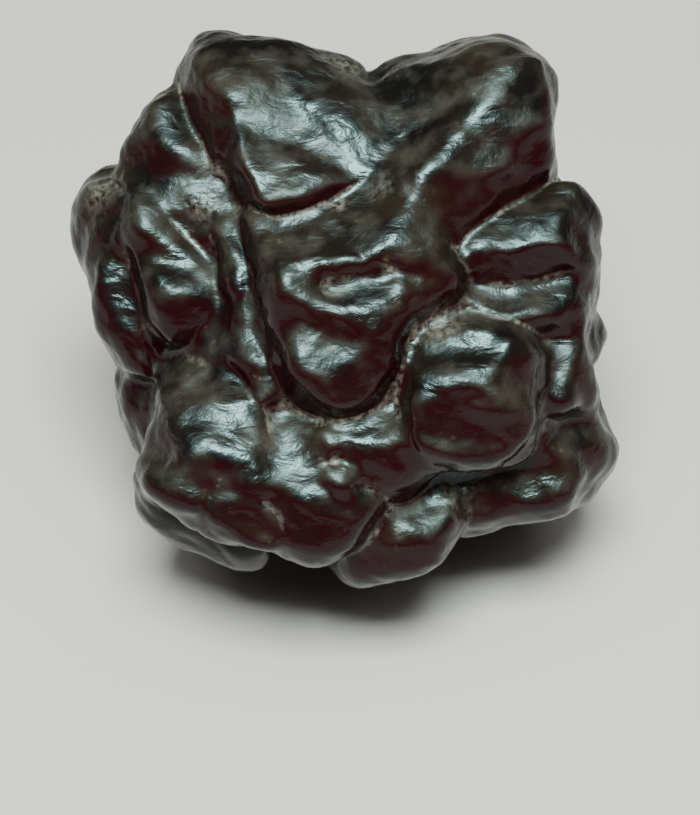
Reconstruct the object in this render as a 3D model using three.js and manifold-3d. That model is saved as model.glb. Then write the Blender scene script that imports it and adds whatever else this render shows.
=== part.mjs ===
// A prophecy stone: one palm-sized nodule of iron oxide that kept the shape of an older
// cluster of radiating crystal blades. Wind and sand have worn the blades into smooth,
// flat-faced lumps with narrow creases between them. It is a single solid piece, and it
// rests on a small flat spot.
//
// The lumps are drawn in millimetres as they look from the side of the stone that shows
// best: x to the right, y up that face, z out of it, with 0,0,0 in the stone's middle.
// The whole is then tipped back until the flat spot is underneath.
import * as THREE from "three";
import { mergeVertices } from "three/addons/utils/BufferGeometryUtils.js";
import Module from "manifold-3d";

const wasm = await Module();
wasm.setup();

// Driving dimensions, in millimetres and degrees.
const tipBack = 45; // how far the drawn face leans back once the stone is set down
const restDepth = 18.6; // from the stone's middle down to the flat spot
const restX = 0.07; // the middle of the tipped stone's width, from its own middle
const restY = -1.98; // and of its depth
const creaseFillet = 1.4; // how wide two lumps run into each other
const sway = 0.25; // how far the lumps wander from straight lines
const facetRings = 21; // rows of vertices on each side of the starting icosahedron
const settlePasses = 12; // rounds of evening out the vertices over the surface
const outerReach = 30; // every lump lies within this distance of the middle
const eyeDistance = 260; // how far off the best side is seen from
const surfaceGap = 0.004; // a vertex this near the surface lies on it
const plumpness = 0.55; // gives back what the rounding takes off each lump
const girdleRound = 0.8; // how gently a lump turns from its sides to its root

const radians = THREE.MathUtils.degToRad;

// The rotation that makes a lump drawn from the front look up and to the right.
function turning([up, right, spin = 0]) {
  const euler = new THREE.Euler(-radians(up), radians(right), radians(spin), "YXZ");
  return new THREE.Matrix4().makeRotationFromEuler(euler);
}

// A worn blade end: an outline seen from the front, flat faces over it, and sides that
// slope out from the faces to the girdle, sink beneath them, and back in to the root. Each
// face is [x, y, z, up, right]: a point on it, and where it looks.
function lump(outline, faces, { sink = 2.4, wear = 0.24, slope = 30, root = 24, turn = [0, 0] }) {
  const m = turning(turn).elements;
  const corners = outline.map(([x, y]) => new THREE.Vector2(x, y));
  if (THREE.ShapeUtils.isClockWise(corners)) corners.reverse();
  const slopeIn = Math.tan(radians(slope));
  const rootIn = Math.tan(radians(root));
  const lean = Math.cos(radians(slope));
  const tops = faces.map(facePlane);
  const sides = corners.map(({ x, y }, i) => {
    const { x: nextX, y: nextY } = corners[(i + 1) % corners.length];
    const n = new THREE.Vector2(nextY - y, x - nextX).normalize().multiplyScalar(lean);
    return [n.x, n.y, 0, n.x * x + n.y * y];
  });
  const planes = new Float64Array([...tops, ...sides].flat());
  const heights = new Float64Array(tops.length + sides.length);
  const ramp = (t) => (t + Math.hypot(t, girdleRound) - girdleRound) / 2;
  return (px, py, pz, limit) => {
    const x = m[0] * px + m[1] * py + m[2] * pz;
    const y = m[4] * px + m[5] * py + m[6] * pz;
    const z = m[8] * px + m[9] * py + m[10] * pz;
    let highest = -Infinity;
    let inset = 0;
    for (let i = 0, j = 0; i < heights.length; i++, j += 4) {
      if (i === tops.length) {
        inset = ramp(highest + sink) * slopeIn + ramp(-sink - highest) * rootIn;
        inset *= lean;
      }
      heights[i] = planes[j] * x + planes[j + 1] * y + planes[j + 2] * z - planes[j + 3] + inset;
      highest = Math.max(highest, heights[i]);
    }
    if (highest - plumpness * wear > limit) return highest;
    let total = 0;
    for (let i = 0; i < heights.length; i++) total += Math.exp((heights[i] - highest) / wear);
    return highest + wear * (Math.log(total) - plumpness);
  };
}

// The plane of a face: its normal, and how far out it lies.
function facePlane([x, y, z, up, right]) {
  const n = new THREE.Vector3(0, 0, 1).applyMatrix4(turning([up, right]));
  return [n.x, n.y, n.z, n.x * x + n.y * y + n.z * z];
}

// A lump of the side that shows best. Its outline and its faces are drawn where they are
// seen from eyeDistance in front of the middle.
function facing(outline, faces, options = {}) {
  const { sink = 2.4 } = options;
  const shrink = (z) => 1 - z / eyeDistance;
  const tops = faces.map(([x, y, z, up, right]) => [shrink(z) * x, shrink(z) * y, z, up, right]);
  const planes = tops.map(facePlane);
  const drawn = outline.map(([x, y]) => {
    const depths = planes.map(([nx, ny, nz, out]) => (out - nx * x - ny * y) / nz);
    const k = shrink(Math.max(-5, Math.min(...depths) - sink));
    return [k * x, k * y];
  });
  return lump(drawn, tops, options);
}

// A lump drawn looking straight at it, where its blade points away from the middle: six
// corners, a roof of two faces that meet along its length, and a nose at each end.
function blade(long, wide, roof, { up, right, spin, out, sink = 3, slope = 24 }) {
  const outline = [
    [-long, -0.35 * wide],
    [-0.45 * long, -wide],
    [0.55 * long, -0.85 * wide],
    [long, -0.1 * wide],
    [0.7 * long, 0.8 * wide],
    [-0.5 * long, wide],
  ];
  const faces = [
    [0, 0, out, roof, 0],
    [0, 0, out, -roof, 0],
    [0.6 * long, 0, out - 0.6, 0, 28],
    [-0.6 * long, 0, out - 0.4, 0, -22],
  ];
  return lump(outline, faces, { sink, slope, turn: [up, right, spin] });
}

// A rounded ridge or groove between two points, with its own radius at each end.
function roll(from, to, fromRadius, toRadius) {
  const [ax, ay, az] = from;
  const [bx, by, bz] = to.map((value, i) => value - from[i]);
  const span = bx * bx + by * by + bz * bz;
  return (x, y, z) => {
    const along = ((x - ax) * bx + (y - ay) * by + (z - az) * bz) / span;
    const t = Math.min(1, Math.max(0, along));
    const reach = Math.hypot(x - ax - t * bx, y - ay - t * by, z - az - t * bz);
    return reach - fromRadius - (toRadius - fromRadius) * t;
  };
}

// A rounded pebble shape with three radii.
function pebble([cx, cy, cz], [rx, ry, rz]) {
  return (x, y, z) => {
    const [dx, dy, dz] = [(x - cx) / rx, (y - cy) / ry, (z - cz) / rz];
    const size = Math.hypot(dx, dy, dz);
    return (size * (size - 1)) / Math.max(1e-6, Math.hypot(dx / rx, dy / ry, dz / rz));
  };
}

const core = pebble([0, -0.5, 0.2], [16, 16, 15.4]);

// The side that shows best, from its upper left to its lower right.
const bestSide = [
  // The big wedge at the upper left: a broad flat face and a dark left flank.
  facing(
    [[-8.6, 7.8], [-3.2, 8.1], [-0.2, 9], [2.6, 10.4], [4.2, 14], [3, 17], [1.2, 18.1],
      [-1.8, 19.7], [-7.5, 21.5], [-9.6, 21.8], [-11.3, 21.2], [-13, 18.6], [-13, 16.6],
      [-10.6, 11.9]],
    [[-4, 13.5, 14, 21, 4], [-1, 13.5, 13.8, 22, 20], [-8.7, 14, 14.1, 6, -56],
      [-6, 17.6, 12.6, 44, -2]],
    { sink: 2, slope: 26, wear: 0.22 },
  ),
  // The big wedge at the upper right, with a long ridge down to the middle.
  facing(
    [[-2.6, 14], [-2.4, 9], [-0.6, 5.4], [2.8, 2.4], [5.4, 2.2], [8, 4], [10.9, 6.1], [13.8, 8.3],
      [16.4, 10.4], [16.8, 12.5], [16.2, 17.5], [15.7, 19.4], [14, 20.9], [11.5, 21.7],
      [8, 20.9], [1.2, 18], [-2, 16.4]],
    [[9, 13.2, 15.9, 30, -24], [9, 13.2, 15.9, -6, 38], [11, 20.3, 11.8, 60, 8],
      [4.2, 6.2, 18.2, 10, -14]],
    { slope: 26, wear: 0.22 },
  ),
  roll([13.2, 14.4, 11.7], [11, 11, 13.1], 2.1, 2.1),
  // The brow and the snout in the middle.
  facing(
    [[-8.2, 8.3], [-8.2, 5], [-7.5, 2.4], [-6.2, -1], [-2, -2.5], [4.5, -1.8], [8.4, 0.2],
      [9.2, 3], [6.4, 7], [2.6, 10.6], [-0.2, 10], [-3.2, 9.4]],
    [[-2, 3.6, 17.9, 6, -8], [-2, 3.6, 17.9, 42, -18], [2.4, 0.6, 18.7, -16, 30],
      [-4.8, 0, 18, 0, -48]],
    { sink: 3, slope: 24, wear: 0.24 },
  ),
  facing(
    [[-7.2, 2.6], [-6.3, -1.3], [-4.8, -5.3], [-2.9, -7.2], [-0.2, -8], [2.3, -7.2],
      [3.9, -5.3], [5, -2.4], [5.8, 1.5], [2, 5], [-4, 5]],
    [[-1.6, 3.6, 17.9, 6, -8], [-1.2, -3.1, 18.6, -15, -2], [2.4, 0.6, 18.8, -16, 30],
      [-4.7, 0, 18, 0, -48], [-2, 3.8, 17.9, 42, -18]],
    { sink: 3, slope: 20, wear: 0.24 },
  ),
  // The inner finger at the left.
  facing(
    [[-17.8, 10.6], [-17.2, 12.4], [-16.7, 14], [-16, 15.4], [-14.5, 16.8], [-12.8, 17.4],
      [-7.8, 8.4], [-8.2, 4.4], [-9.2, 2.4]],
    [[-12.6, 11.5, 11.3, 20, 6], [-14.8, 12, 10.3, 6, -42], [-10.6, 7.6, 11.8, -8, -14]],
    { sink: 1.8, slope: 30 },
  ),
  // The fist at the left: an inner and an outer fold.
  facing(
    [[-16.5, 10], [-17.3, 8], [-17.4, 5], [-16.4, 1], [-13.6, -3.2], [-12.4, -2.7], [-9.6, -0.5],
      [-9.1, 2.6], [-10.4, 4.5], [-12.5, 7], [-15, 9.4]],
    [[-13.8, 4.6, 12.4, 20, 6], [-15.8, 4, 11.9, 2, -42], [-12.5, 0.4, 13, -26, 4],
      [-11, 3, 12.9, 4, 38]],
    { sink: 2, wear: 0.32 },
  ),
  facing(
    [[-18.4, 11.1], [-20.1, 10], [-21.3, 8.2], [-21.5, 7], [-20.8, 4], [-20.1, 1.7],
      [-19.3, -0.5], [-18.2, -2.6], [-16.9, -4.2], [-14.4, -4.4], [-14.4, 4], [-15, 9.6]],
    [[-18.4, 6, 9, 8, -40], [-17.2, -0.4, 9.6, -16, -32], [-18.4, 8.8, 8.5, 42, -16],
      [-17.2, 3, 10, 4, 24]],
    { sink: 1.8, wear: 0.36 },
  ),
  // The foot below the fist.
  facing(
    [[-18, -6.5], [-17.8, -4.8], [-16.6, -3.2], [-12, -3], [-12, -10], [-15.8, -11.2],
      [-17, -10.1], [-17.7, -8.6]],
    [[-15.5, -7, 6, -2, -24]],
    { wear: 0.4 },
  ),
  // The pair of big lumps at the lower left, and the soft folds below their crest.
  facing(
    [[-13.2, -3], [-14.7, -6.6], [-15.9, -10.6], [-16.3, -12.4], [-15.8, -14], [-13.4, -15.5],
      [-10.6, -16.8], [-8, -17.4], [-6, -17.4], [-5, -6.5], [-6.8, -4.4], [-9.5, -1.8],
      [-12.4, -2.4]],
    [[-9.8, -9, 15.1, 24, -6], [-10, -7, 14.3, 44, -8], [-9.5, -11.5, 16, -14, -6],
      [-12.8, -9.6, 14.8, 2, -50]],
    { sink: 2.4 },
  ),
  facing(
    [[-7.6, -6.2], [-8.6, -12], [-8.4, -17], [-4, -18.2], [-1, -17.4], [-0.4, -11],
      [-0.9, -8.2], [-2.4, -6.6], [-5, -5.6]],
    [[-4, -9.5, 15.2, 24, -6], [-4, -8.1, 14.6, 42, 6], [-4, -11, 15.8, -14, 4],
      [-6.8, -10, 15.4, 6, -34]],
    { sink: 2, slope: 24 },
  ),
  facing(
    [[-12, -12.6], [-15.6, -11.6], [-16.2, -12.8], [-15.8, -14.2], [-13.6, -15.6],
      [-11.2, -16.4], [-10.4, -14.6]],
    [[-13.4, -14, 15, -12, -14]],
    { sink: 2 },
  ),
  facing(
    [[-9.4, -13.8], [-11, -15], [-11, -17], [-8.8, -18.1], [-5, -18.6], [-4.6, -15.4],
      [-6, -13.8]],
    [[-8, -15.5, 15.3, -16, -4]],
    { sink: 2 },
  ),
  facing(
    [[-5, -13.6], [-5.8, -15.4], [-4.6, -18.8], [-2.4, -19.4], [0.3, -18.2], [2.6, -15.4],
      [2.6, -13.6], [0.4, -12.6], [-2.4, -12.8]],
    [[-1.8, -15, 14.8, -15, 8]],
    { sink: 2 },
  ),
  // The rim under them.
  facing(
    [[-16.3, -12], [-15.6, -15], [-13.8, -17.1], [-11, -18.4], [-8.8, -19.3], [-6, -19.6],
      [-5, -17], [-10, -12]],
    [[-11, -16, 8.5, -16, -12]],
    { sink: 2 },
  ),
  // The nose at the bottom.
  facing(
    [[-1.6, -19], [-0.5, -20.6], [1, -21.6], [4, -21.1], [6.5, -20], [8.2, -18.4], [9, -13],
      [7.5, -11.5], [3.5, -12], [0.5, -15]],
    [[4.6, -15.2, 12.4, 24, 0], [4.6, -16.6, 12.8, -15, 4], [1.6, -18, 11.4, -10, -30]],
    { sink: 2.4, wear: 0.34 },
  ),
  // The round lump at the right of the middle.
  facing(
    [[5.4, -1.9], [5.2, -5.3], [5.4, -9.2], [6.4, -11.3], [9, -12.5], [10.8, -12.5],
      [13.3, -11.5], [14.9, -9.8], [15.9, -6.5], [15.7, -3.5], [14.4, -2], [12.3, -0.9],
      [10.2, -0.3], [7.8, -0.2], [6.2, -1]],
    [[8.6, -3.8, 16.6, 22, -10], [12.5, -4.4, 16.9, 0, 36], [9, -6.9, 17.4, -15, 4]],
    { sink: 2.6, slope: 20, wear: 0.2 },
  ),
  // The fan of three fingers at the right, and the small one behind them.
  facing(
    [[7.4, 3], [8.6, 5], [10.4, 7], [13.2, 8.6], [15.8, 9.9], [17.8, 9.9], [19, 8.8],
      [19.6, 6.3], [19.5, 4.4], [19, 2.8], [13.8, 1.9], [9.6, 1.3]],
    [[14, 6, 13.6, 25, 2], [14, 4.7, 14.1, -35, 6], [18.2, 6.5, 11.8, 6, 50]],
    { sink: 1.8, slope: 26 },
  ),
  facing(
    [[7.6, 0.8], [9.6, 2.4], [13.8, 3.2], [19, 3.8], [19.3, 0.8], [18.8, -1.4], [16.9, -2.3],
      [12.3, -1.2], [10.2, -0.5]],
    [[14.5, 0.6, 13.1, 25, 2], [14.5, -0.5, 13.5, -30, 4], [17.9, 0.5, 11.8, 0, 50]],
    { sink: 1.6, slope: 26 },
  ),
  facing(
    [[14.8, -1.2], [18.6, -0.4], [19.4, -3.5], [19.7, -5.9], [18.8, -8], [16.4, -8],
      [14.8, -6.2]],
    [[16.8, -4.4, 12, 14, -4], [17.8, -4.4, 11.9, 0, 52]],
    { sink: 2, slope: 26 },
  ),
  pebble([17.8, -1.2, 3.5], [2.1, 2.4, 3.2]),
  // The wedge at the lower right.
  facing(
    [[21.1, -10], [20.2, -7.6], [19.4, -6], [16, -5.5], [11, -7.5], [8, -12], [8.8, -17.1],
      [12.5, -16.4], [17.5, -15.2], [18.9, -14.4], [20.1, -12.2]],
    [[15, -12.4, 10.4, 32, 4], [15, -12.6, 10.4, -12, 6], [19.2, -10, 7, 4, 46]],
    { sink: 2.4, wear: 0.32 },
  ),
  // The saddle under the snout, and the small button beside it.
  facing(
    [[-1.8, -6.4], [-2.4, -9.8], [-1, -12.8], [3.4, -14], [6.8, -12.4], [7.2, -8],
      [6.2, -1.8], [4.6, -2], [1.4, -4]],
    [[2.2, -8.8, 15.2, 34, 2], [2.2, -10.2, 15.4, -15, 0]],
    { sink: 2, wear: 0.34 },
  ),
  pebble([-0.3, -11.9, 14.4], [1.3, 1.1, 1.6]),
  // The thin ridge in the valley at the left of the middle.
  roll([-8.4, 5.6, 12.3], [-8.2, 1.6, 12.9], 1, 0.9),
  roll([-8.2, 1.6, 12.9], [-7.2, -1.8, 13.2], 0.9, 0.8),
  roll([-7.2, -1.8, 13.2], [-5.4, -5.6, 13.8], 0.8, 1),
  // The chip that shows in the notch at the top.
  pebble([-0.6, 16.6, 7], [2.4, 2.3, 2.4]),
];

// The sides that the view of the best side doesn't show.
const farSides = [
  blade(8.5, 5, 22, { up: 84, right: 0, spin: 6, out: 18.2 }),
  blade(6.5, 4.6, 24, { up: 55, right: -125, spin: 40, out: 19.2 }),
  blade(6.8, 4.8, 22, { up: 58, right: 130, spin: -35, out: 19.8 }),
  blade(5.8, 4.2, 26, { up: 28, right: 92, spin: 70, out: 19.4 }),
  blade(5.6, 4.4, 24, { up: 0, right: 100, spin: 15, out: 18.6 }),
  blade(6.2, 4.4, 24, { up: -32, right: 98, spin: -30, out: 18.8 }),
  blade(6.2, 4.2, 24, { up: 30, right: -88, spin: -65, out: 18.6 }),
  blade(6.4, 4.6, 22, { up: -4, right: -98, spin: 20, out: 18.8 }),
  blade(6, 4.4, 24, { up: -36, right: -90, spin: 60, out: 18.6 }),
  blade(7, 5, 20, { up: 30, right: 175, spin: 80, out: 17.8 }),
  blade(6.8, 5, 22, { up: -2, right: 178, spin: 12, out: 19 }),
  blade(6.6, 4.4, 26, { up: 14, right: -142, spin: -55, out: 19.2 }),
  blade(6.8, 4.6, 24, { up: 16, right: 142, spin: 52, out: 19.6 }),
  blade(6.4, 4.8, 22, { up: -18, right: -140, spin: 35, out: 19.4 }),
  blade(6.6, 4.6, 24, { up: -16, right: 140, spin: -28, out: 19.2 }),
  blade(5.6, 4.6, 14, { up: -45, right: -148, spin: 70, out: 19.8 }),
  blade(5.8, 4.6, 14, { up: -42, right: 146, spin: -60, out: 19.8 }),
  blade(6.4, 4.8, 14, { up: -76, right: 180, spin: 5, out: 19.8 }),
  blade(6, 5.4, 4, { up: -45, right: 180, spin: 20, out: 20 }),
  blade(6, 4.4, 22, { up: -62, right: -60, spin: 30, out: 18.4 }),
  blade(6.2, 4.4, 22, { up: -60, right: 58, spin: -35, out: 18.6 }),
];

const lumps = [core, ...bestSide, ...farSides];

// Where something has worn into the lumps: the pit between the folds of the fist, and the
// grooves across the inner fold and the snout.
const hollows = [
  roll([-17, 3.4, 10.5], [-16.3, 0.4, 11], 0.9, 0.8),
  roll([-15.4, 4.6, 13.1], [-12, 4.1, 14], 0.8, 0.8),
  roll([-1.6, 1.8, 19.4], [3.2, 3, 20], 1.2, 1.6),
  roll([-4.2, -0.7, 19.1], [0.6, -1.6, 19.9], 1.2, 1.2),
];

// A slow sway that keeps the edges of the lumps from being straight.
function swayed(x, y, z) {
  return [
    x + sway * (Math.sin(0.37 * y + 0.21 * z + 1.3) + 0.6 * Math.sin(0.83 * z - 0.52 * y + 0.4)),
    y + sway * (Math.sin(0.41 * z + 0.24 * x + 2.1) + 0.6 * Math.sin(0.76 * x + 0.58 * z + 3.2)),
    z + sway * (Math.sin(0.39 * x - 0.26 * y + 0.7) + 0.6 * Math.sin(0.88 * y + 0.47 * x + 5.1)),
  ];
}

// The distance to the stone's surface. Where two lumps are about as near as each other,
// a little fillet rounds the crease between them.
function stone(px, py, pz) {
  const [x, y, z] = swayed(px, py, pz);
  let nearest = Infinity;
  let second = Infinity;
  for (const distance of lumps) {
    const d = distance(x, y, z, second);
    if (d < nearest) {
      second = nearest;
      nearest = d;
    } else if (d < second) {
      second = d;
    }
  }
  const meet = Math.max(0, 1 - (second - nearest) / creaseFillet);
  let surface = nearest - (meet * meet * creaseFillet) / 4;
  if (surface > 2) return surface;
  for (const hollow of hollows) {
    const inside = -hollow(x, y, z);
    const edge = Math.max(0, 1 - Math.abs(surface - inside) / creaseFillet);
    surface = Math.max(surface, inside) + (edge * edge * creaseFillet) / 4;
  }
  return surface;
}

// Moves a point straight to the stone's surface.
function onToSurface(point, steps) {
  const probe = 0.05;
  for (let i = 0; i < steps; i++) {
    const { x, y, z } = point;
    const d = stone(x, y, z);
    if (Math.abs(d) < surfaceGap) return;
    const slope = new THREE.Vector3(
      stone(x + probe, y, z) - d,
      stone(x, y + probe, z) - d,
      stone(x, y, z + probe) - d,
    ).divideScalar(probe);
    point.addScaledVector(slope, -d / Math.max(0.2, slope.lengthSq()));
  }
}

// The stone's skin: a ball of even triangles, drawn in from outside to the lumps and then
// evened out along them, so that the creases and the undercuts get their share.
function skin() {
  const ball = new THREE.IcosahedronGeometry(1, facetRings);
  ball.deleteAttribute("normal");
  ball.deleteAttribute("uv");
  const geometry = mergeVertices(ball, 1e-5);
  const position = geometry.getAttribute("position");
  const corners = geometry.index.array;
  const points = [];
  for (let i = 0; i < position.count; i++) {
    const way = new THREE.Vector3().fromBufferAttribute(position, i).normalize();
    let reach = outerReach;
    for (let step = 0; step < 200; step++) {
      const d = stone(way.x * reach, way.y * reach, way.z * reach);
      if (d < surfaceGap) break;
      reach -= d * 0.9;
    }
    points.push(way.multiplyScalar(reach));
  }
  const neighbours = points.map(() => new Set());
  for (let i = 0; i < corners.length; i += 3) {
    for (let j = 0; j < 3; j++) {
      neighbours[corners[i + j]].add(corners[i + ((j + 1) % 3)]);
      neighbours[corners[i + j]].add(corners[i + ((j + 2) % 3)]);
    }
  }
  for (let pass = 0; pass < settlePasses; pass++) {
    const evened = points.map((point, i) => {
      const mean = new THREE.Vector3();
      for (const j of neighbours[i]) mean.add(points[j]);
      return mean.divideScalar(neighbours[i].size).lerp(point, 0.5);
    });
    evened.forEach((point, i) => {
      onToSurface(point, 3);
      points[i].copy(point);
    });
  }
  points.forEach((point, i) => position.setXYZ(i, point.x, point.y, point.z));
  return geometry;
}

function toManifold(geometry) {
  const vertProperties = new Float32Array(geometry.getAttribute("position").array);
  const triVerts = new Uint32Array(geometry.index.array);
  return new wasm.Manifold(new wasm.Mesh({ numProp: 3, vertProperties, triVerts }));
}

function fromManifold(solid) {
  const { vertProperties, triVerts } = solid.getMesh();
  return new THREE.BufferGeometry()
    .setAttribute("position", new THREE.BufferAttribute(vertProperties, 3))
    .setIndex(new THREE.BufferAttribute(triVerts, 1));
}

// The tipped stone with its flat spot worn level at z = 0.
function seated(geometry) {
  geometry.rotateX(radians(90 - tipBack)).translate(-restX, -restY, restDepth);
  const below = new THREE.BoxGeometry(60, 60, 10).translate(0, 0, -5);
  below.deleteAttribute("normal");
  below.deleteAttribute("uv");
  const ground = toManifold(mergeVertices(below, 1e-5));
  return fromManifold(toManifold(geometry).subtract(ground));
}

const ironOxide = new THREE.MeshStandardMaterial({
  color: 0x241d1b,
  roughness: 0.34,
  metalness: 0.25,
});

const mesh = new THREE.Mesh(seated(skin()), ironOxide);
mesh.name = "stone";

const group = new THREE.Group();
group.name = "prophecy stone";
group.add(mesh);

export default group;
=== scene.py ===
import math

import bpy
import numpy as np
from mathutils import Matrix, Vector


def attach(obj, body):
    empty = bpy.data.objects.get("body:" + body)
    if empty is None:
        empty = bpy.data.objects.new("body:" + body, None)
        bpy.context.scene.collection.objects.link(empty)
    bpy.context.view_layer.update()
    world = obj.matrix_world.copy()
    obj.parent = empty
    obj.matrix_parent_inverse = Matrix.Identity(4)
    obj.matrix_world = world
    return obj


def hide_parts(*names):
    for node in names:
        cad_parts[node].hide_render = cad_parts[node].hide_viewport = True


# A prophecy stone: a nodule of iron oxide, worn to smooth flat-faced lumps by wind and sand.
# Its lumps are drawn in millimetres as they look from the side that shows best: x to the
# right, y up that face, z out of it. The whole is then tipped back onto its flat spot.

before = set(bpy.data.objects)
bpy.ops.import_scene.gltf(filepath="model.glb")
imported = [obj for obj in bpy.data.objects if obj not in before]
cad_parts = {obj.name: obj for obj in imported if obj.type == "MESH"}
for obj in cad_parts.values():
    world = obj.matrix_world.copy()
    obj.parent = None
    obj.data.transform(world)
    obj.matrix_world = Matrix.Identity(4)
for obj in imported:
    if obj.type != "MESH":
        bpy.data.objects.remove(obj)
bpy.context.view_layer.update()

mm = 0.001

stone = {
    "tipBack": 45,  # degrees that the drawn face leans back
    "restDepth": 18.6,  # mm from the stone's middle down to the flat spot
    "restX": 0.07,  # mm, the middle of the tipped stone's width
    "restY": -1.98,  # and of its depth
    "creaseFillet": 1.4,  # mm over which two lumps run into each other
    "sway": 0.25,  # mm that the lumps wander from straight lines
    "eyeDistance": 260,  # mm from which the best side is drawn
    "plumpness": 0.55,  # gives back what the rounding takes off each lump
    "rootReach": 16,  # mm past its outline that a lump still counts
    "girdleRound": 0.8,  # mm over which a lump turns from its sides to its root
    "lowestGirdle": -5,  # mm, the least height at which a corner of an outline is drawn
    "fineness": 2,  # times that each triangle of the solid is cut in four
    "settlePasses": 5,  # rounds of evening out the vertices
    "unfoldPasses": 80,  # most rounds of opening folds
    "foldLimit": 0.5,  # least cosine between a triangle and its corners that isn't a fold
    "creaseWidth": 0.45,  # mm, half the width of the line worn between two lumps
    "creaseDepth": 0.08,  # mm
    "creaseHollow": 0.12,  # mm below its surroundings from which a point is all crease
    "cavityReach": 3,  # how far around a point its hollow is measured, in rounds of evening out
    "waves": [(5.5, 0.13), (2.8, 0.09), (1.2, 0.025)],  # mm long and high, the unevenness
    "waveCount": 14,  # directions in which each of them runs
    "crustWave": (0.7, 0.05),  # mm long and high, where the skin is broken
    "crustWaveCount": 20,
    "seed": 7,
}


# The rotation that makes a lump drawn from the front look up and to the right.
def turning(up, right, spin=0):
    toRight = Matrix.Rotation(math.radians(right), 3, "Y")
    toUp = Matrix.Rotation(math.radians(-up), 3, "X")
    return np.array(toRight @ toUp @ Matrix.Rotation(math.radians(spin), 3, "Z"))


# The plane of each face: its normal, and how far out it lies.
def facePlanes(faces):
    normals = np.array([turning(up, right)[:, 2] for x, y, z, up, right in faces])
    return normals, np.sum(normals * np.array(faces, float)[:, :3], axis=1)


# A worn blade end: an outline seen from the front, flat faces over it, and sides that slope
# out from the faces to the girdle, sink beneath them, and back in to the root. Each face is
# [x, y, z, up, right]: a point on it, and where it looks. The sides lean by slope and root
# degrees, and the edges are rounded over a few times wear, in mm.
def lump(outline, faces, sink=2.4, wear=0.24, slope=30, root=24, turn=(0, 0, 0)):
    rotation = turning(*turn)
    start = np.array(outline, float)
    end = np.roll(start, -1, axis=0)
    if np.sum(start[:, 0] * end[:, 1] - start[:, 1] * end[:, 0]) < 0:
        start, end = end, start
    along = end - start
    level = math.cos(math.radians(slope))
    out = level * np.stack([along[:, 1], -along[:, 0]], axis=1) / np.hypot(*along.T)[:, None]
    sides = np.sum(out * start, axis=1)
    normals, tops = facePlanes(faces)
    slopeIn = level * math.tan(math.radians(slope))
    rootIn = level * math.tan(math.radians(root))
    middle = rotation @ [*start.mean(axis=0), np.mean([face[2] for face in faces]) - sink]
    reach = np.linalg.norm(start - start.mean(axis=0), axis=1).max() + stone["rootReach"]

    def ramp(t):
        return (t + np.hypot(t, stone["girdleRound"]) - stone["girdleRound"]) / 2

    def distance(points, limit):
        result = np.full(len(points), np.inf)
        close = np.linalg.norm(points - middle, axis=1) < reach
        result[close] = closeDistance(points[close], limit[close])
        return result

    def closeDistance(points, limit):
        local = points @ rotation
        above = local @ normals.T - tops
        face = above.max(axis=1)
        inset = ramp(face + sink) * slopeIn + ramp(-sink - face) * rootIn
        heights = np.hstack([above, local[:, :2] @ out.T - sides + inset[:, None]])
        highest = heights.max(axis=1)
        near = highest - stone["plumpness"] * wear <= limit
        total = np.exp((heights[near] - highest[near, None]) / wear).sum(axis=1)
        highest[near] += wear * (np.log(total) - stone["plumpness"])
        return highest

    return distance


# A lump of the side that shows best, drawn where it is seen from eyeDistance off.
def facing(outline, faces, sink=2.4, **options):
    def shrink(z):
        return 1 - z / stone["eyeDistance"]

    tops = [[shrink(z) * x, shrink(z) * y, z, up, right] for x, y, z, up, right in faces]
    normals, out = facePlanes(tops)
    corners = np.array(outline, float)
    girdle = ((out - corners @ normals[:, :2].T) / normals[:, 2]).min(axis=1) - sink
    girdle = np.maximum(stone["lowestGirdle"], girdle)
    return lump(corners * shrink(girdle)[:, None], tops, sink, **options)


# A lump drawn looking straight at it, where its blade points away from the middle.
def blade(long, wide, roof, up, right, spin, out, sink=3, slope=24):
    outline = [
        [-long, -0.35 * wide], [-0.45 * long, -wide], [0.55 * long, -0.85 * wide],
        [long, -0.1 * wide], [0.7 * long, 0.8 * wide], [-0.5 * long, wide],
    ]
    # Two faces make its roof, and one at each end slopes away.
    faces = [
        [0, 0, out, roof, 0], [0, 0, out, -roof, 0],
        [0.6 * long, 0, out - 0.6, 0, 28], [-0.6 * long, 0, out - 0.4, 0, -22],
    ]
    return lump(outline, faces, sink, slope=slope, turn=(up, right, spin))


# A rounded ridge or groove between two points, with its own radius at each end.
def roll(start, end, startRadius, endRadius):
    start = np.array(start, float)
    axis = np.array(end, float) - start

    def distance(points, limit=None):
        t = np.clip((points - start) @ axis / (axis @ axis), 0, 1)
        reach = np.linalg.norm(points - start - t[:, None] * axis, axis=1)
        return reach - startRadius - (endRadius - startRadius) * t

    return distance


# A rounded pebble shape with three radii.
def pebble(centre, radii):
    centre, radii = np.array(centre, float), np.array(radii, float)

    def distance(points, limit=None):
        local = (points - centre) / radii
        size = np.linalg.norm(local, axis=1)
        return size * (size - 1) / np.maximum(1e-6, np.linalg.norm(local / radii, axis=1))

    return distance


core = pebble([0, -0.5, 0.2], [16, 16, 15.4])

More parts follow.
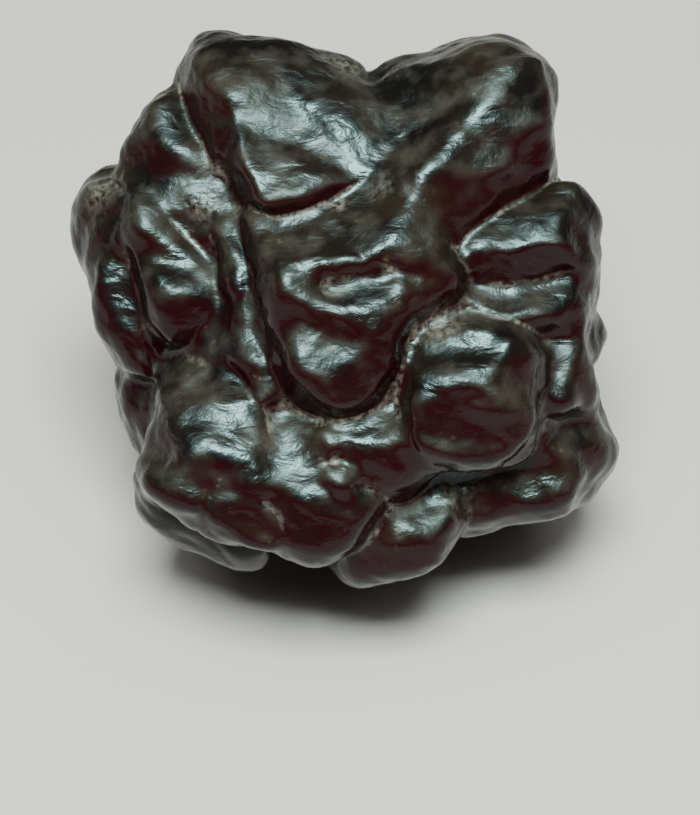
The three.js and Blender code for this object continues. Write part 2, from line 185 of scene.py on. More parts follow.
# The side that shows best, from its upper left to its lower right.
bestSide = [
    # The big wedge at the upper left: a broad flat face and a dark left flank.
    facing(
        [[-8.6, 7.8], [-3.2, 8.1], [-0.2, 9], [2.6, 10.4], [4.2, 14], [3, 17], [1.2, 18.1],
            [-1.8, 19.7], [-7.5, 21.5], [-9.6, 21.8], [-11.3, 21.2], [-13, 18.6], [-13, 16.6],
            [-10.6, 11.9]],
        [[-4, 13.5, 14, 22, 9], [-1, 13.5, 13.8, 22, 20], [-8.6, 14, 14.1, -10, -56],
            [-6, 17.6, 12.6, 44, -2]],
        sink=2, slope=26, wear=0.22,
    ),
    # The big wedge at the upper right, with a long ridge down to the middle.
    facing(
        [[-2.6, 14], [-2.4, 9], [-0.6, 5.4], [2.8, 2.4], [5.4, 2.2], [8, 4], [10.9, 6.1],
            [13.8, 8.3], [16.4, 10.4], [16.8, 12.5], [16.2, 17.5], [15.7, 19.4], [14, 20.9],
            [11.5, 21.7], [8, 20.9], [1.2, 18], [-2, 16.4]],
        [[9, 13.2, 15.9, 30, -30], [9, 13.2, 15.9, -6, 31], [9, 13.2, 15.6, 14, 2.6],
            [11, 20.3, 11.8, 60, 8], [4.2, 6.2, 18.5, 10, -8]],
        slope=26, wear=0.22,
    ),
    roll([13.2, 14.4, 11.7], [11, 11, 13.1], 2.1, 2.1),  # a swell to the right of the ridge
    # The brow and the snout in the middle.
    facing(
        [[-8.2, 8.3], [-8.2, 5], [-7.5, 2.4], [-6.2, -1], [-2, -2.5], [4.5, -1.8], [8.4, 0.2],
            [9.2, 3], [6.4, 7], [2.6, 10.6], [-0.2, 10], [-3.2, 9.4]],
        [[-2, 3.7, 17.9, 2, 5], [-2, 3.7, 17.9, 42, -2], [2.4, 0.6, 18.7, -16, 30],
            [-4.8, 0, 18, 0, -48]],
        sink=3, slope=24, wear=0.24,
    ),
    facing(
        [[-7.2, 2.6], [-6.3, -1.3], [-4.8, -5.3], [-2.9, -7.2], [-0.2, -8], [2.3, -7.2],
            [3.9, -5.3], [5, -2.4], [5.8, 1.5], [2, 5], [-4, 5]],
        [[-1.6, 3.6, 17.9, 5, 0], [-1.2, -3.1, 18.6, -15, -2], [2.4, 0.6, 18.8, -16, 30],
            [-4.7, 0, 18, 0, -48], [-2, 3.8, 17.9, 42, -2]],
        sink=3, slope=20, wear=0.24,
    ),
    # The inner finger at the left.
    facing(
        [[-17.8, 10.6], [-17.2, 12.4], [-16.7, 14], [-16, 15.4], [-14.5, 16.8], [-12.8, 17.4],
            [-7.8, 8.4], [-8.2, 4.4], [-9.2, 2.4]],
        [[-12.6, 11.5, 11.3, 20, 6], [-14.8, 12, 10.3, 6, -42], [-10.6, 7.6, 11.8, -8, -14]],
        sink=1.8, slope=30,
    ),
    # The fist at the left: an inner and an outer fold.
    facing(
        [[-16.5, 10], [-17.3, 8], [-17.4, 5], [-16.4, 1], [-13.6, -3.2], [-12.4, -2.7],
            [-9.6, -0.5], [-9.1, 2.6], [-10.4, 4.5], [-12.5, 7], [-15, 9.4]],
        [[-13.8, 4.6, 12.4, 20, 6], [-15.8, 4, 11.9, 2, -42], [-12.5, 0.4, 13, -26, 4],
            [-11, 3, 12.9, 4, 38]],
        sink=2, wear=0.32,
    ),
    facing(
        [[-18.4, 11.1], [-20.1, 10], [-21.3, 8.2], [-21.5, 7], [-20.8, 4], [-20.1, 1.7],
            [-19.3, -0.5], [-18.2, -2.6], [-16.9, -4.2], [-14.4, -4.4], [-14.4, 4], [-15, 9.6]],
        [[-18.4, 6, 9, 8, -40], [-17.2, -0.4, 9.6, -16, -32], [-18.4, 8.8, 8.5, 42, -16],
            [-17.2, 3, 10, 4, 24]],
        sink=1.8, wear=0.36,
    ),
    # The foot below the fist.
    facing(
        [[-18, -6.5], [-17.8, -4.8], [-16.6, -3.2], [-12, -3], [-12, -10], [-15.8, -11.2],
            [-17, -10.1], [-17.7, -8.6]],
        [[-15.5, -7, 6, -2, -24]],
        wear=0.4,
    ),
    # The pair of big lumps at the lower left, and the soft folds below their crest.
    facing(
        [[-13.2, -3], [-14.7, -6.6], [-15.9, -10.6], [-16.3, -12.4], [-15.8, -14], [-13.4, -15.5],
            [-10.6, -16.8], [-8, -17.4], [-6, -17.4], [-5, -6.5], [-6.8, -4.4], [-9.5, -1.8],
            [-12.4, -2.4]],
        [[-9.8, -9, 15.1, 24, -6], [-10, -7, 14.3, 44, -8], [-9.5, -11.5, 16, -14, -6],
            [-12.8, -9.6, 14.8, 2, -50]],
        sink=2.4,
    ),
    facing(
        [[-7.6, -6.2], [-8.6, -12], [-8.4, -17], [-4, -18.2], [-1, -17.4], [-0.4, -11],
            [-0.9, -8.2], [-2.4, -6.6], [-5, -5.6]],
        [[-4, -9.5, 15.2, 24, -6], [-4, -8.1, 14.6, 42, 6], [-4, -11, 15.8, -14, 4],
            [-6.8, -10, 15.4, 6, -34]],
        sink=2, slope=24,
    ),
    facing(
        [[-12, -12.6], [-15.6, -11.6], [-16.2, -12.8], [-15.8, -14.2], [-13.6, -15.6],
            [-11.2, -16.4], [-10.4, -14.6]],
        [[-13.4, -14, 15, -14, -24]],
        sink=2,
    ),
    facing(
        [[-9.4, -13.8], [-11, -15], [-11, -17], [-8.8, -18.1], [-5, -18.6], [-4.6, -15.4],
            [-6, -13.8]],
        [[-8, -15.5, 15.5, -18, 6]],
        sink=2,
    ),
    facing(
        [[-5, -13.6], [-5.8, -15.4], [-4.6, -18.8], [-2.4, -19.4], [0.3, -18.2], [2.6, -15.4],
            [2.6, -13.6], [0.4, -12.6], [-2.4, -12.8]],
        [[-1.8, -15, 14.9, -16, 0]],
        sink=2,
    ),
    # The rim under them.
    facing(
        [[-16.3, -12], [-15.6, -15], [-13.8, -17.1], [-11, -18.4], [-8.8, -19.3], [-6, -19.6],
            [-5, -17], [-10, -12]],
        [[-11, -16, 8.5, -16, -12]],
        sink=2,
    ),
    # The nose at the bottom.
    facing(
        [[-1.6, -19], [-0.5, -20.6], [1, -21.6], [4, -21.1], [6.5, -20], [8.2, -18.4], [9, -13],
            [7.5, -11.5], [3.5, -12], [0.5, -15]],
        [[4.6, -15.2, 12.4, 38, 0], [4.6, -16.6, 12.8, -15, 4], [1.6, -18, 11.4, -10, -30]],
        sink=2.4, wear=0.34,
    ),
    # The round lump at the right of the middle.
    facing(
        [[5.2, -1.4], [4.5, -5.3], [4.7, -9.2], [6, -11.5], [9, -12.5], [10.8, -12.5],
            [13.3, -11.5], [14.9, -9.8], [15.9, -6.5], [15.7, -3.5], [14.4, -2], [12.3, -0.9],
            [10.2, -0.3], [7.8, -0.2], [6.2, -1]],
        [[8.6, -3.8, 16.6, 27, -12], [12.5, -4.4, 16.9, 0, 36], [9, -6.9, 17.4, -15, 4]],
        sink=2.6, slope=20, wear=0.2,
    ),
    # The fan of three fingers at the right, and the small one behind them.
    facing(
        [[7.4, 3], [8.6, 5], [10.4, 7], [13.2, 8.6], [15.8, 9.9], [17.8, 9.9], [19, 8.8],
            [19.6, 6.3], [19.5, 4.4], [19, 2.8], [13.8, 1.9], [9.6, 1.3]],
        [[14, 6, 13.6, 30, 2], [14, 4.7, 14.1, -35, 6], [18.2, 6.5, 11.8, 6, 50]],
        sink=1.8, slope=26,
    ),
    facing(
        [[7.6, 0.8], [9.6, 2.4], [13.8, 3.2], [19, 3.8], [19.3, 0.8], [18.8, -1.4], [16.9, -2.3],
            [12.3, -1.2], [10.2, -0.5]],
        [[14.5, 0.6, 13.1, 28, 2], [14.5, -0.5, 13.5, -30, 4], [17.9, 0.5, 11.8, 0, 50]],
        sink=1.6, slope=26,
    ),
    facing(
        [[14.8, -1.2], [18.6, -0.4], [19.4, -3.5], [19.7, -5.9], [18.8, -8], [16.4, -8],
            [14.8, -6.2]],
        [[16.8, -4.4, 12, 14, -4], [17.8, -4.4, 11.9, 0, 52]],
        sink=2, slope=26,
    ),
    pebble([17.8, -1.2, 3.5], [2.1, 2.4, 3.2]),
    # The wedge at the lower right.
    facing(
        [[21.1, -10], [20.2, -7.6], [19.4, -6], [16, -5.5], [11, -7.5], [8, -12], [8.8, -17.1],
            [12.5, -16.4], [17.5, -15.2], [18.9, -14.4], [20.1, -12.2]],
        [[15, -12.4, 10.4, -14, 4], [15, -12.6, 10.4, -18, 8], [19.2, -10, 7, 4, 46]],
        sink=2.4, wear=0.32,
    ),
    # The saddle under the snout, and the small button beside it.
    facing(
        [[-1.8, -6.4], [-2.4, -9.8], [-1, -12.8], [3.4, -14], [6.8, -12.4], [7.2, -8],
            [6.2, -1.8], [4.6, -2], [1.4, -4]],
        [[2.2, -8.8, 15.2, 34, 2], [2.2, -10.2, 15.4, -15, 0]],
        sink=2, wear=0.34,
    ),
    pebble([-0.3, -11.9, 14.4], [1.3, 1.1, 1.6]),
    # The thin ridge in the valley at the left of the middle.
    roll([-8.4, 5.6, 12.3], [-8.2, 1.6, 12.9], 1, 0.9),
    roll([-8.2, 1.6, 12.9], [-7.2, -1.8, 13.2], 0.9, 0.8),
    roll([-7.2, -1.8, 13.2], [-5.4, -5.6, 13.8], 0.8, 1),
    # What fills the deepest creases.
    roll([17, 2.4, 2.5], [16.8, 2.5, 7.5], 1.5, 1.3),
    roll([-7.2, 8, 11.2], [-3, 8.2, 13.2], 1.1, 1.2),
    # The chip that shows in the notch at the top.
    pebble([-0.6, 16.6, 7], [2.4, 2.3, 2.4]),
]

# The sides that don't show from the front: blade ends like the others, pointing all ways.
farSides = [
    blade(8.5, 5, 22, up=84, right=0, spin=6, out=18.2),
    blade(6.5, 4.6, 24, up=55, right=-125, spin=40, out=19.2),
    blade(6.8, 4.8, 22, up=58, right=130, spin=-35, out=19.8),
    blade(5.8, 4.2, 26, up=28, right=92, spin=70, out=19.4),
    blade(5.6, 4.4, 24, up=0, right=100, spin=15, out=18.6),
    blade(6.2, 4.4, 24, up=-32, right=98, spin=-30, out=18.8),
    blade(6.2, 4.2, 24, up=30, right=-88, spin=-65, out=18.6),
    blade(6.4, 4.6, 22, up=-4, right=-98, spin=20, out=18.8),
    blade(6, 4.4, 24, up=-36, right=-90, spin=60, out=18.6),
    blade(7, 5, 20, up=30, right=175, spin=80, out=17.8),
    blade(6.8, 5, 22, up=-2, right=178, spin=12, out=19),
    blade(6.6, 4.4, 26, up=14, right=-142, spin=-55, out=19.2),
    blade(6.8, 4.6, 24, up=16, right=142, spin=52, out=19.6),
    blade(6.4, 4.8, 22, up=-18, right=-140, spin=35, out=19.4),
    blade(6.6, 4.6, 24, up=-16, right=140, spin=-28, out=19.2),
    blade(5.6, 4.6, 14, up=-45, right=-148, spin=70, out=19.8),
    blade(5.8, 4.6, 14, up=-42, right=146, spin=-60, out=19.8),
    blade(6.4, 4.8, 14, up=-76, right=180, spin=5, out=19.8),
    blade(6, 5.4, 4, up=-45, right=180, spin=20, out=20),
    blade(6, 4.4, 22, up=-62, right=-60, spin=30, out=18.4),
    blade(6.2, 4.4, 22, up=-60, right=58, spin=-35, out=18.6),
]

lumps = [core, *bestSide, *farSides]

# Where something has worn into the lumps: the pit between the folds of the fist, and the
# grooves across the inner fold, the brow and the snout.
hollows = [
    roll([-17, 3.4, 10.5], [-16.3, 0.4, 11], 0.9, 0.8),
    roll([-15.4, 4.6, 13.1], [-12, 4.1, 14], 0.8, 0.8),
    roll([-0.8, 1.9, 19], [2.6, 2.8, 19], 0.9, 0.9),
    roll([-4.2, -0.7, 19.1], [0.6, -1.6, 19.9], 1.2, 1.2),
]

# Where the skin is broken and dusty: the middle of each spot, and its radius in mm.
crusts = [
    [-0.2, 18, 8.6, 1.5], [-18.6, 9.2, 8.2, 1.3], [-10.2, 8.2, 11.4, 1.2],
    [-9.3, 10.4, 11.6, 0.8], [6.9, -0.8, 15.2, 1.3], [2.4, 9.6, 15.6, 0.9],
    [8.8, -13.2, 12, 1.4], [1.6, -12.6, 13.4, 1.0],
]


# The rotation that tips the drawing back, and what puts it on the flat spot.
lean = np.array(Matrix.Rotation(math.radians(90 - stone["tipBack"]), 3, "X"))
shift = np.array([-stone["restX"], -stone["restY"], stone["restDepth"]])


# A slow sway that keeps the edges of the lumps from being straight: in each direction a
# long wave and a short one, which run across it. The numbers are radians to the mm.
def swayed(points):
    x, y, z = points.T
    amount = stone["sway"]
    return np.stack([
        x + amount * (np.sin(0.37 * y + 0.21 * z + 1.3) + 0.6 * np.sin(0.83 * z - 0.52 * y + 0.4)),
        y + amount * (np.sin(0.41 * z + 0.24 * x + 2.1) + 0.6 * np.sin(0.76 * x + 0.58 * z + 3.2)),
        z + amount * (np.sin(0.39 * x - 0.26 * y + 0.7) + 0.6 * np.sin(0.88 * y + 0.47 * x + 5.1)),
    ], axis=1)


# How far each point lies outside the stone, and how far it is from a crease: the
# difference between the two lumps that are nearest to it. The flat spot cuts it off below.
def stoneField(points):
    depths = -points @ lean[2] - stone["restDepth"]
    points = swayed(points)
    nearest = np.full(len(points), np.inf)
    second = np.full(len(points), np.inf)
    for distance in lumps:
        d = distance(points, second)
        second = np.minimum(second, np.maximum(nearest, d))
        nearest = np.minimum(nearest, d)
    fillet = stone["creaseFillet"]
    meet = np.maximum(0, 1 - (second - nearest) / fillet)
    surface = nearest - meet ** 2 * fillet / 4
    for hollow in hollows:
        inside = -hollow(points)
        edge = np.maximum(0, 1 - np.abs(surface - inside) / fillet)
        surface = np.maximum(surface, inside) + edge ** 2 * fillet / 4
    return np.maximum(surface, depths), second - nearest


# Cuts every triangle in four at the middles of its sides.
def cutInFour(points, triangles):
    sides = np.sort(triangles[:, [0, 1, 1, 2, 2, 0]].reshape(-1, 2), axis=1)
    pairs, index = np.unique(sides, axis=0, return_inverse=True)
    middles = points[pairs].mean(axis=1)
    a, b, c = triangles.T
    ab, bc, ca = (index.reshape(-1, 3) + len(points)).T
    corners = [[a, ab, ca], [ab, b, bc], [ca, bc, c], [ab, bc, ca]]
    return np.vstack([points, middles]), np.concatenate([np.stack(k, axis=1) for k in corners])


# Moves points straight to the stone's surface.
def onToSurface(points, steps):
    probe = 0.03  # mm
    leastSteep = 0.2  # keeps each step short where the field is nearly level
    for step in range(steps):
        d = stoneField(points)[0]
        slope = np.stack([stoneField(points + probe * axis)[0] - d for axis in np.eye(3)], axis=1)
        slope /= probe
        steep = np.maximum(leastSteep, np.sum(slope ** 2, axis=1))
        points = points - slope * (d / steep)[:, None]
    return points


# Vectors brought to a length of one.
def unit(vectors):
    return vectors / np.maximum(1e-12, np.linalg.norm(vectors, axis=1))[:, None]


# The normals of the triangles, as long as twice their areas, and those of the vertices.
def meshNormals(points, triangles):
    a, b, c = (points[triangles[:, k]] for k in range(3))
    faceNormals = np.cross(b - a, c - a)
    total = np.stack([
        np.bincount(triangles.ravel(), np.repeat(faceNormals[:, k], 3), len(points))
        for k in range(3)
    ], axis=1)
    return faceNormals, unit(total)


# Each point moved half way to the middle of its neighbours.
def evened(points, pairs):
    count = np.bincount(pairs.ravel(), minlength=len(points))
    total = np.stack([
        np.bincount(pairs[:, 0], points[pairs[:, 1], k], len(points))
        + np.bincount(pairs[:, 1], points[pairs[:, 0], k], len(points))
        for k in range(3)
    ], axis=1)
    return (points + total / count[:, None]) / 2


# Opens the folds at the bottoms of the narrowest creases by evening out what lies around them.
def unfolded(points, triangles, pairs):
    for step in range(stone["unfoldPasses"]):
        faceNormals, normals = meshNormals(points, triangles)
        faceNormals = unit(faceNormals)
        agreement = np.ones(len(points))
        for k in range(3):
            dots = np.sum(faceNormals * normals[triangles[:, k]], axis=1)
            np.minimum.at(agreement, triangles[:, k], dots)
        folded = agreement < stone["foldLimit"]
        if not folded.any():
            break
        for ring in range(2):
            reached = pairs[folded[pairs].any(axis=1)]
            folded[reached.ravel()] = True
        points = np.where(folded[:, None], evened(points, pairs), points)
    left = int((agreement < stone["foldLimit"]).sum())
    print("stone: folds left after", step + 1, "passes:", left)
    return points


# How far each point lies below its surroundings: more than nothing in a crease or a pit.
def cavities(points, normals, pairs, rounds):
    around = points
    for step in range(rounds):
        around = evened(around, pairs)
    return np.sum((around - points) * normals, axis=1)


# Waves of about one length that run in many directions, from -1 to 1 for the most part.
# Their lengths are 0.75 to 1.35 of the one given, and their phases lie all round the turn.
def unevenness(points, wavelength, count, seed):
    rng = np.random.default_rng(seed)
    ways = rng.normal(size=(count, 3))
    ways /= np.linalg.norm(ways, axis=1)[:, None]
    lengths = wavelength * rng.uniform(0.75, 1.35, count)
    phases = points @ (2 * math.pi * ways / lengths[:, None]).T + rng.uniform(0, 6.3, count)
    return np.sin(phases).sum(axis=1) * math.sqrt(1.3 / count)


# How broken and dusty the surface is around the worn spots, up to 1 at their middles.
def crusted(points):
    near = np.zeros(len(points))
    for x, y, z, radius in crusts:
        away = np.linalg.norm(points - [x, y, z], axis=1) / radius
        near = np.maximum(near, np.exp(-away ** 2))
    return near


# From the drawing to the row's own frame, in metres, and back.
def tipped(points):
    return (points @ lean.T + shift) * mm


def drawnAgain(points):
    return (points / mm - shift) @ lean


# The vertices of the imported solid, those in one place made one, and its triangles.
def solidMesh(part):
    perMetre = 1e7  # vertices that round to the same step of this count are one
    mesh = part.data
    points = np.empty(len(mesh.vertices) * 3)
    mesh.vertices.foreach_get("co", points)
    mesh.calc_loop_triangles()
    triangles = np.empty(len(mesh.loop_triangles) * 3, int)
    mesh.loop_triangles.foreach_get("vertices", triangles)
    points = points.reshape(-1, 3)
    steps = np.round(points * perMetre).astype(int)
    first, index = np.unique(steps, axis=0, return_index=True, return_inverse=True)[1:]
    return points[first], index.ravel()[triangles].reshape(-1, 3)


# The solid's triangles, cut finer and settled on the lumps, with creases and unevenness.
# Evening out reaches half as far on triangles half as long, so each cut in four takes four
# times the rounds.
def makeStone():
    points, triangles = solidMesh(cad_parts["stone"])
    points = drawnAgain(points)
    levels = stone["fineness"]
    for level in range(levels):
        points, triangles = cutInFour(points, triangles)
    print("stone:", len(triangles), "triangles")
    sides = np.sort(triangles[:, [0, 1, 1, 2, 2, 0]].reshape(-1, 2), axis=1)
    pairs = np.unique(sides, axis=0)
    points = onToSurface(points, 2)
    for settle in range(stone["settlePasses"]):
        points = onToSurface(evened(points, pairs), 1)
    points = onToSurface(points, 1)
    gap = stoneField(points)[1]
    print("stone: lumps worn to shape")
    normals = meshNormals(points, triangles)[1]
    hollow = cavities(points, normals, pairs, stone["cavityReach"] * 4 ** levels)
    crease = np.exp(-(gap / stone["creaseWidth"]) ** 2)
    crease *= np.clip(hollow / stone["creaseHollow"], 0, 1)
    relief = -stone["creaseDepth"] * crease
    for order, (size, height) in enumerate(stone["waves"], 1):
        relief += height * unevenness(points, size, stone["waveCount"], stone["seed"] + order)
    crust = crusted(points)
    size, height = stone["crustWave"]
    relief += height * crust * unevenness(points, size, stone["crustWaveCount"], stone["seed"])
    points = tipped(points + normals * relief[:, None])
    points[:, 2] = np.maximum(points[:, 2], 0)  # nothing below what it rests on
    points = unfolded(points, triangles, pairs)

    mesh = bpy.data.meshes.new("stoneSkin")
    mesh.from_pydata(points.tolist(), [], triangles.tolist())
    mesh.polygons.foreach_set("use_smooth", np.ones(len(triangles), bool))
    for name, values in [("crease", crease), ("crust", crust)]:
        attribute = mesh.attributes.new(name, "FLOAT", "POINT")
        attribute.data.foreach_set("value", values.astype(np.float32))
    skin = bpy.data.objects.new("stoneSkin", mesh)
    bpy.context.scene.collection.objects.link(skin)
    return skin


# An sRGB hex colour turned linear.
def linear(hexColour):
    parts = [int(hexColour[k:k + 2], 16) / 255 for k in (1, 3, 5)]
    return [c / 12.92 if c <= 0.04045 else ((c + 0.055) / 1.055) ** 2.4 for c in parts] + [1]


# Adds a node with its settings, and links what is given for its inputs.
def node(tree, kind, inputs=None, **settings):
    made = tree.nodes.new("ShaderNode" + kind)
    for name, value in settings.items():
        setattr(made, name, value)
    for name, value in (inputs or {}).items():
        socket = made.inputs[name]
        if isinstance(value, bpy.types.NodeSocket):
            tree.links.new(value, socket)
        else:
            socket.default_value = value
    return made


oxide = {
    "dark": "#0a0706",
    "brown": "#1b150f",  # in large soft stains
    "redReflection": "#1c0306",  # painted red reflection, on the faces that look level or down and to the front
    "film": "#4d463d",  # fine clay that dulls the polish in patches
    "ochre": "#7d6a4a",  # specks of yellow limonite
    "dust": "#8f8a7c",  # held in the creases and on the worn spots
    "filmShare": 0.22,  # how much of the dark colour the film hides at most
    "ochreShare": 0.28,
    "dustShare": 0.35,
    "patterns": {  # mm across, detail, and the values between which each noise comes to show
        "stains": (6, 4, 0.42, 0.66),
        "patches": (2.6, 6, 0.44, 0.66),  # of the clay film
        "specks": (1.1, 5, 0.64, 0.76),  # of limonite
        "speckle": (0.45, 3, 0.36, 0.7),  # the grain of the dust
    },
    "wrinkleSize": 1.2,  # mm, of the fine wrinkles over which the gloss breaks up
    "wrinkleHeight": 0.17,  # mm
    "wrinkleSquash": (0.55, 1.0, 1.0),  # draws them out along the stone's width
    "gritHeights": (0.03, 0.15),  # mm, on the clean skin and on the worn spots
    "polish": 0.27,  # roughness where wind has polished it
    "dull": 0.5,  # roughness of the dull patches
    "ior": 1.4,  # of the waxy skin, which is less than the mineral's own
    "sheen": "#cdf0ee",  # the blue-grey of its gloss
}


# Goethite and hematite, wind-polished: nearly black, with a waxy gloss that breaks up over
# fine wrinkles, dull patches of clay film, a painted red reflection low on the front, and pale
# dust held in the creases.
def windPolishedIronOxide():
    material = bpy.data.materials.new("windPolishedIronOxide")
    material.use_nodes = True
    tree = material.node_tree
    tree.nodes.clear()
    place = node(tree, "TexCoord").outputs["Object"]
    crease = node(tree, "Attribute", attribute_name="crease").outputs["Fac"]
    crust = node(tree, "Attribute", attribute_name="crust").outputs["Fac"]
    normal = node(tree, "NewGeometry").outputs["Normal"]
    looking = node(tree, "SeparateXYZ", {"Vector": normal}).outputs

    noise, shown = {}, {}
    for name, (size, detail, low, high) in oxide["patterns"].items():
        noise[name] = node(tree, "TexNoise", {
            "Vector": place, "Scale": 1 / (size * mm), "Detail": detail}).outputs["Fac"]
        shown[name] = node(tree, "MapRange", {
            "Value": noise[name], "From Min": low, "From Max": high}).outputs["Result"]
    along = node(tree, "Mapping", {"Vector": place, "Scale": oxide["wrinkleSquash"]})
    wrinkles = node(tree, "TexNoise", {
        "Vector": along.outputs["Vector"], "Scale": 1 / (oxide["wrinkleSize"] * mm),
        "Detail": 4, "Roughness": 0.5, "Distortion": 0.6}).outputs["Fac"]

    # The painted red reflection lies on the faces that look level or down, most of all to the
    # front.
    under = node(tree, "MapRange", {
        "Value": looking["Z"], "From Min": 0.7, "From Max": 0.42}).outputs["Result"]
    toFront = node(tree, "MapRange", {
        "Value": looking["Y"], "From Min": -0.15, "From Max": -0.65,
        "To Min": 0.2, "To Max": 0.9}).outputs["Result"]

    # The film lies on the faces that look up.
    upward = node(tree, "MapRange", {
        "Value": under, "To Min": oxide["filmShare"], "To Max": 0}).outputs["Result"]

    # Dust is held in the creases, here more and there less, and lies on the worn spots.
    deep = node(tree, "MapRange", {"Value": crease, "From Min": 0.35, "From Max": 0.9})
    here = node(tree, "MapRange", {"Value": shown["stains"], "From Min": 0.2, "From Max": 0.7})
    held = node(tree, "Math", {
        0: deep.outputs["Result"], 1: here.outputs["Result"]}, operation="MULTIPLY")
    settled = node(tree, "Math", {0: held.outputs[0], 1: crust}, operation="MAXIMUM").outputs[0]

    # Each layer lies over the ones before it, as much as its factors multiplied.
    layers = {
        "brown": [shown["stains"]],
        "redReflection": [under, toFront],
        # a painted red reflection on the faces that look level or down and to the front
        "film": [shown["patches"], upward],
        "ochre": [shown["specks"], shown["patches"], oxide["ochreShare"]],
        "dust": [settled, shown["speckle"], oxide["dustShare"]],
    }
    body = linear(oxide["dark"])
    amounts = {}
    for name, (amount, *factors) in layers.items():
        for factor in factors:
            amount = node(tree, "Math", {0: amount, 1: factor}, operation="MULTIPLY").outputs[0]
        amounts[name] = amount
        colours = {"Factor": amount, "A": body, "B": linear(oxide[name])}
        body = node(tree, "Mix", colours, data_type="RGBA").outputs["Result"]
    redder = {"Value": amounts["redReflection"], "From Min": 0.2, "From Max": 0.9}

    # The film is dull, most of all on the crests of the wrinkles. Where the painted red
    # reflection lies, the skin is smooth.
    broken = node(tree, "MapRange", {
        "Value": wrinkles, "From Min": 0.3, "From Max": 0.7, "To Min": 0.5, "To Max": 1.0})
    dull = node(tree, "Math", {
        0: shown["patches"], 1: broken.outputs["Result"]}, operation="MULTIPLY").outputs[0]
    rough = node(tree, "MapRange", {
        "Value": dull, "To Min": oxide["polish"], "To Max": oxide["dull"]}).outputs["Result"]
    smoother = node(tree, "MapRange", {**redder, "To Min": 1, "To Max": 0.6}).outputs["Result"]
    rough = node(tree, "Math", {0: rough, 1: smoother}, operation="MULTIPLY").outputs[0]
    calmer = node(tree, "MapRange", {**redder, "To Min": 1, "To Max": 0.25}).outputs["Result"]
    bump = node(tree, "Bump", {
        "Height": wrinkles, "Distance": oxide["wrinkleHeight"] * mm, "Strength": calmer})
    smooth, gritty = oxide["gritHeights"]
    grit = node(tree, "MapRange", {"Value": crust, "To Min": smooth * mm, "To Max": gritty * mm})
    fineBump = node(tree, "Bump", {
        "Height": noise["speckle"], "Distance": grit.outputs["Result"],
        "Normal": bump.outputs["Normal"]})

    gloss = node(tree, "MapRange", {"Value": under, "To Min": 0.5, "To Max": 0.3})
    shader = node(tree, "BsdfPrincipled", {
        "Base Color": body, "Roughness": rough, "IOR": oxide["ior"],
        "Specular Tint": linear(oxide["sheen"]), "Specular IOR Level": gloss.outputs["Result"],
        "Normal": fineBump.outputs["Normal"]})
    node(tree, "OutputMaterial", {"Surface": shader.outputs["BSDF"]})
    return material


# A floor, a small light over the front that draws the highlights, and a larger, dimmer one
# above it that greys the faces that look up.
studio = {
    "floorColour": "#a8a19b",
    "floorRoughness": 0.6,
    "floorSize": 1.2,  # m
    "lights": [  # name, place and size in metres, watts, colour
        ("keyLight", (0.0, -0.18, 0.47), (0.2, 0.15), 9.5, "#e2f3f2"),
        ("softLight", (0.0, -0.1, 0.56), (0.66, 0.5), 3.6, "#e6eeee"),
    ],
    "worldColour": "#8a8684",
    "worldStrength": 0.3,
    "focal": 3380,  # pixels, from 13 px/mm at eyeDistance
    "imageSize": (700, 815),
    "middlePixel": (345, 313),  # where the stone's middle stands in the picture
    "elevation": 45,  # degrees from which the camera looks down
}


# Matt grey paint, which gives a soft shadow and hardly a reflection.
def makeFloor():
    half = studio["floorSize"] / 2
    mesh = bpy.data.meshes.new("floor")
    corners = [(-half, -half, 0), (half, -half, 0), (half, half, 0), (-half, half, 0)]
    mesh.from_pydata(corners, [], [(0, 1, 2, 3)])
    floor = bpy.data.objects.new("floor", mesh)
    bpy.context.scene.collection.objects.link(floor)
    material = bpy.data.materials.new("mattPaint")
    material.use_nodes = True
    shader = material.node_tree.nodes["Principled BSDF"]
    shader.inputs["Base Color"].default_value = linear(studio["floorColour"])
    shader.inputs["Roughness"].default_value = studio["floorRoughness"]
    mesh.materials.append(material)


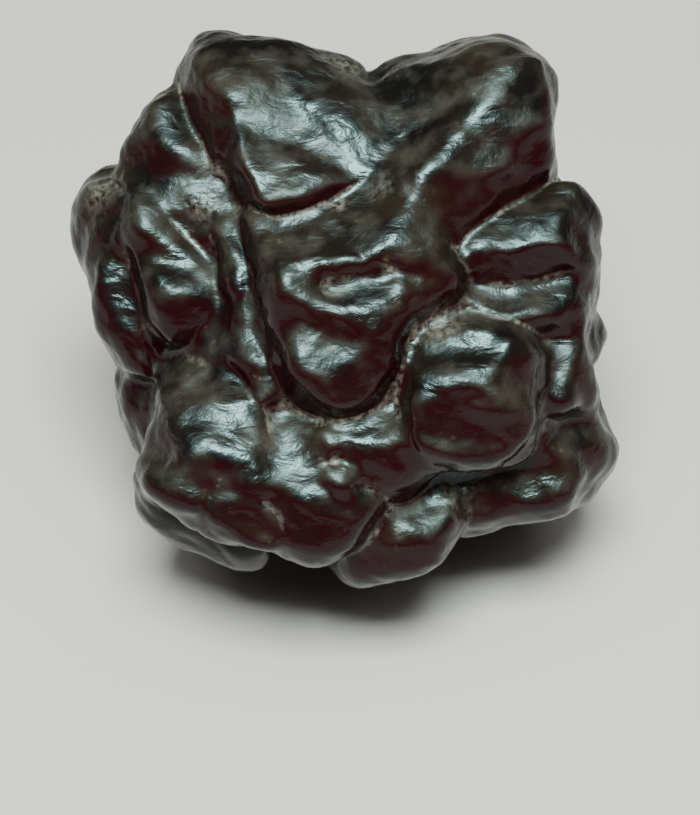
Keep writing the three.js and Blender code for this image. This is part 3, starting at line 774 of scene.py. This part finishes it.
# The middle of the drawing, where it lies in the row's own frame.
def stoneMiddle():
    return Vector((-stone["restX"], -stone["restY"], stone["restDepth"])) * mm


# An area light that looks at the stone's middle.
def addLight(name, place, size, watts, colour):
    light = bpy.data.lights.new(name, "AREA")
    light.shape = "RECTANGLE"
    light.size, light.size_y = size
    light.energy = watts
    light.color = linear(colour)[:3]
    lamp = bpy.data.objects.new(name, light)
    lamp.location = place
    lamp.rotation_euler = (stoneMiddle() - Vector(place)).to_track_quat("-Z", "Y").to_euler()
    bpy.context.scene.collection.objects.link(lamp)


def makeStudio():
    makeFloor()
    for light in studio["lights"]:
        addLight(*light)
    world = bpy.data.worlds.new("studio")
    world.use_nodes = True
    background = world.node_tree.nodes["Background"]
    background.inputs["Color"].default_value = linear(studio["worldColour"])
    background.inputs["Strength"].default_value = studio["worldStrength"]
    bpy.context.scene.world = world


# The camera looks down at the stone from eyeDistance off its middle, which stands a little
# above the picture's centre.
def makeCamera():
    middle = stoneMiddle()
    elevation = math.radians(studio["elevation"])
    back = Vector((0, -math.cos(elevation), math.sin(elevation)))
    up = Vector((0, math.sin(elevation), math.cos(elevation)))
    width, height = studio["imageSize"]
    acrossPixels = width / 2 - studio["middlePixel"][0]
    downPixels = height / 2 - studio["middlePixel"][1]
    distance = stone["eyeDistance"] * mm
    perPixel = distance / studio["focal"]
    target = middle + Vector((1, 0, 0)) * acrossPixels * perPixel - up * downPixels * perPixel
    data = bpy.data.cameras.new("camera")
    data.sensor_fit = "VERTICAL"
    data.sensor_height = 24  # mm
    data.lens = studio["focal"] / height * data.sensor_height
    data.clip_start = 0.01  # m
    camera = bpy.data.objects.new("camera", data)
    camera.location = middle + back * distance
    camera.rotation_euler = (target - camera.location).to_track_quat("-Z", "Y").to_euler()
    bpy.context.scene.collection.objects.link(camera)
    bpy.context.scene.camera = camera


skin = makeStone()
skin.data.materials.append(windPolishedIronOxide())
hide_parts("stone")
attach(skin, "root")
print("stone: material set")

makeStudio()
makeCamera()
print("studio: light and camera set")
